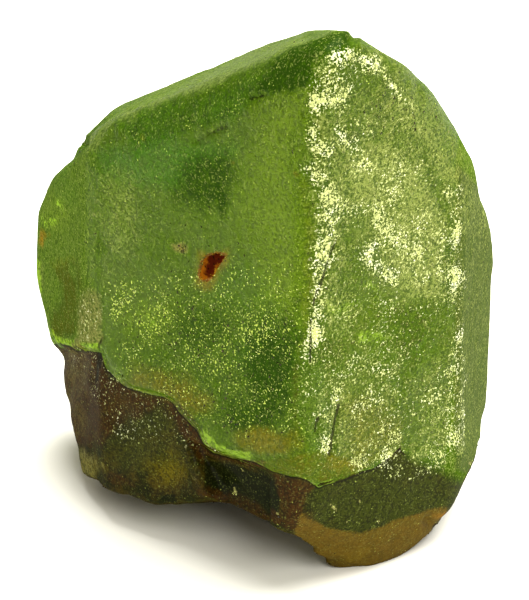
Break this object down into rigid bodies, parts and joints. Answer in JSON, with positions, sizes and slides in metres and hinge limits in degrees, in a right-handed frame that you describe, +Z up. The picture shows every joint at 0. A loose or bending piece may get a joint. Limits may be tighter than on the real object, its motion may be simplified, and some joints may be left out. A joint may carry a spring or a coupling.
{
  "type": "peridot crystal",
  "caption": "Stout natural olivine crystal with a roofed top, an upright front edge, etched green faces and a broken, rust-stained foot.",
  "frame": {"origin": "on the ground plane, under the middle of the crystal's box", "axes": "+Z up, nearly along the crystal's long axis; -Y to the front, where the two big prism faces meet in an upright edge; +X to the right of that edge"},
  "size_m": [0.0266, 0.0232, 0.0337],
  "materials": {
    "peridot": "satin"
  },
  "bodies": {
    "root": {"crystal": "peridot"}
  },
  "joints": []
}
